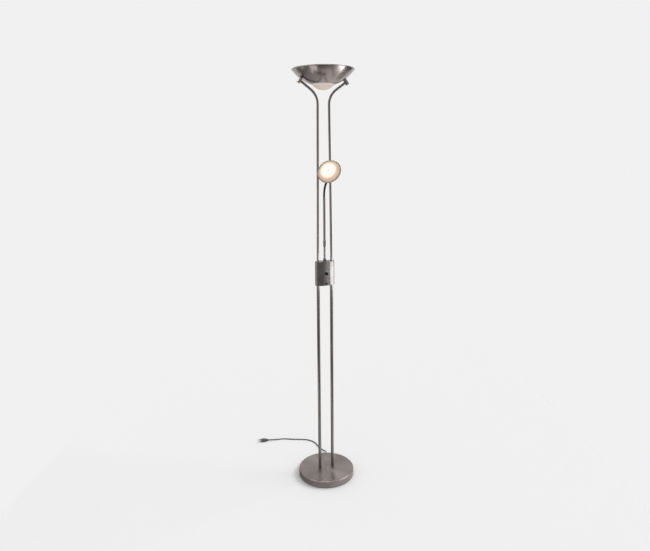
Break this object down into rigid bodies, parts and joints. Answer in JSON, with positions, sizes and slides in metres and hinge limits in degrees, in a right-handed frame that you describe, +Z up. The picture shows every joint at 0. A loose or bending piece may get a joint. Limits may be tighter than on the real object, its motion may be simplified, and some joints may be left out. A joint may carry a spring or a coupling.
{
  "type": "floor lamp",
  "caption": "Standing uplighter lamp with a round weighted base, twin poles, an oval control box, a shallow uplight bowl with a glass dish, and a reading arm on flexible necks.",
  "frame": {"origin": "Centre of the base's underside, on the floor.", "axes": "+Z up along the poles; -Y is the front, where the knob, the button and the reading head face; +X is to the right for a viewer in front."},
  "size_m": [0.3652, 0.5373, 1.8],
  "materials": {
    "satin_metal": "satin brushed nickel",
    "polished_metal": "polished",
    "plain_steel": "zinc plated",
    "hose_metal": "dark wound metal hose",
    "reflector_metal": "warm matt inside face",
    "iron": "as cast",
    "felt": "felt",
    "black_plastic": "fine matt",
    "board": "bare board",
    "ceramic": "glazed white",
    "frosted_glass": "satin etched",
    "clear_glass": "clear",
    "lead": "dull",
    "pin_metal": "plated"
  },
  "bodies": {
    "stand": {"base_cover": "satin_metal", "lower_pole_left": "satin_metal", "lower_pole_right": "satin_metal", "upper_pole_left": "satin_metal", "upper_pole_right": "satin_metal", "box_shell": "satin_metal", "box_top_cap": "satin_metal", "box_bottom_cap": "satin_metal", "bowl": "satin_metal", "barrel_left": "satin_metal", "barrel_right": "satin_metal", "arm_nipple": "satin_metal", "dimmer_collar": "polished_metal", "switch_collar": "polished_metal", "base_washers": "plain_steel", "base_nuts": "plain_steel", "pole_nuts": "plain_steel", "fork_nuts": "plain_steel", "nipple_nut": "plain_steel", "box_chassis": "plain_steel", "board_spacers": "plain_steel", "dish_ring": "plain_steel", "lamp_bridge": "plain_steel", "barrel_screws": "plain_steel", "base_weight": "iron", "base_pad": "felt", "switch_body": "black_plastic", "dimmer_body": "black_plastic", "dimmer_board": "board", "tube_holders": "ceramic", "terminal_block": "ceramic", "glass_dish": "frosted_glass", "tube_lamp": "clear_glass", "mains_cord": "lead", "cord_gland": "lead", "plug_body": "lead", "plug_pins": "pin_metal"},
    "dimmer": {"dimmer_knob": "black_plastic", "dimmer_shaft": "plain_steel"},
    "switch": {"switch_button": "black_plastic"},
    "lower_flex": {"lower_neck": "hose_metal"},
    "arm": {"arm_coupler": "satin_metal", "arm_tube": "satin_metal", "arm_tip": "satin_metal", "upper_neck_foot": "hose_metal"},
    "upper_flex": {"upper_neck_top": "hose_metal"},
    "head": {"head_ferrule": "satin_metal", "head_shell": "satin_metal", "head_reflector": "reflector_metal", "head_glass": "frosted_glass", "glass_clip": "plain_steel", "holder_plate": "plain_steel", "lamp_holder": "ceramic", "capsule_lamp": "clear_glass", "back_screw": "satin_metal"}
  },
  "joints": [
    {"name": "dimmer_turn", "type": "hinge", "parent": "stand", "child": "dimmer", "pos_m": [0, -0.0224, 0.963], "axis": [0, 1, 0], "range_deg": [0, 270]},
    {"name": "switch_press", "type": "slide", "parent": "stand", "child": "switch", "axis": [0, 1, 0], "range_m": [0, 0.0025], "stiffness_N_per_m": 400},
    {"name": "arm_turn", "type": "hinge", "parent": "stand", "child": "lower_flex", "pos_m": [0, 0, 1.026], "axis": [0, 0, 1], "range_deg": [-35, 35]},
    {"name": "arm_lean", "type": "hinge", "parent": "lower_flex", "child": "arm", "pos_m": [0, 0, 1.0525], "axis": [1, 0, 0], "range_deg": [0, 70], "deforming": ["lower_neck"]},
    {"name": "head_nod", "type": "hinge", "parent": "arm", "child": "upper_flex", "pos_m": [0, -0.0009, 1.30635], "axis": [1, 0, 0], "range_deg": [0, 45], "deforming": ["upper_neck_foot"]},
    {"name": "head_turn", "type": "hinge", "parent": "upper_flex", "child": "head", "pos_m": [0, -0.01767, 1.34074], "axis": [0, 0.7362, 0.6768], "range_deg": [-25, 25], "deforming": ["upper_neck_top"]}
  ]
}
